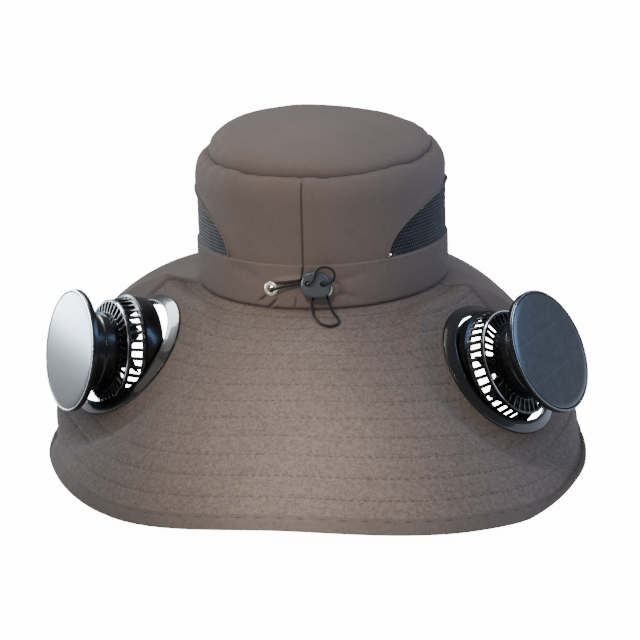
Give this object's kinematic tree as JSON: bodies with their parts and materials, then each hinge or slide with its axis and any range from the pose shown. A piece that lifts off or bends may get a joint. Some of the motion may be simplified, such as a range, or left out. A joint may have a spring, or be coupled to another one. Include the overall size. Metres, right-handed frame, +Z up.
{
  "type": "solar fan hat",
  "caption": "Wide-brimmed soft sun hat with net side vents, a stitched back brim, a rear drawcord with a stopper, and tilting solar fans let into the brim.",
  "frame": {"origin": "on the floor below the middle of the overall box, with the hat resting on its brim's edge", "axes": "+Z up, +Y toward the hat's front, +X toward the wearer's right"},
  "size_m": [0.3912, 0.4298, 0.2239],
  "materials": {
    "brim_canvas": "stitched heathered canvas",
    "smooth_canvas": "plain woven canvas",
    "dark_net": "knitted net",
    "black_plastic": "glossy moulded",
    "grey_plastic": "satin moulded",
    "cord_braid": "braided",
    "pale_brass": "pale lacquered",
    "cell_glass": "glossy solar cell under resin",
    "motor_steel": "plain"
  },
  "bodies": {
    "root": {"crown_top": "smooth_canvas", "crown_side": "smooth_canvas", "net_left": "dark_net", "net_right": "dark_net", "band": "smooth_canvas", "brim_back": "brim_canvas", "brim_front": "smooth_canvas", "eyelet_left": "pale_brass", "eyelet_right": "pale_brass", "toggle": "grey_plastic", "drawcord": "cord_braid", "fan_flange_left": "black_plastic", "fan_flange_right": "black_plastic", "fan_clamp_left": "black_plastic", "fan_clamp_right": "black_plastic"},
    "fan_head_left": {"fan_cage_left": "black_plastic", "solar_housing_left": "black_plastic", "solar_cell_left": "cell_glass", "fan_motor_left": "motor_steel"},
    "fan_head_right": {"fan_cage_right": "black_plastic", "solar_housing_right": "black_plastic", "solar_cell_right": "cell_glass", "fan_motor_right": "motor_steel"},
    "rotor_left": {"impeller_left": "black_plastic"},
    "rotor_right": {"impeller_right": "black_plastic"}
  },
  "joints": [
    {"name": "tilt_left", "type": "hinge", "parent": "root", "child": "fan_head_left", "pos_m": [-0.12138, -0.05455, 0.07216], "axis": [0.5831, -0.8089, -0.0746], "range_deg": [-68.5, 3.5]},
    {"name": "tilt_right", "type": "hinge", "parent": "root", "child": "fan_head_right", "pos_m": [0.1373, -0.05536, 0.0645], "axis": [0.4391, 0.8949, 0.0801], "range_deg": [-50, 22]},
    {"name": "spin_left", "type": "hinge", "parent": "fan_head_left", "child": "rotor_left", "pos_m": [-0.12138, -0.05455, 0.07216], "axis": [-0.7838, -0.5844, 0.21], "continuous": true},
    {"name": "spin_right", "type": "hinge", "parent": "fan_head_right", "child": "rotor_right", "pos_m": [0.1373, -0.05536, 0.0645], "axis": [0.7903, -0.4271, 0.4394], "continuous": true}
  ]
}
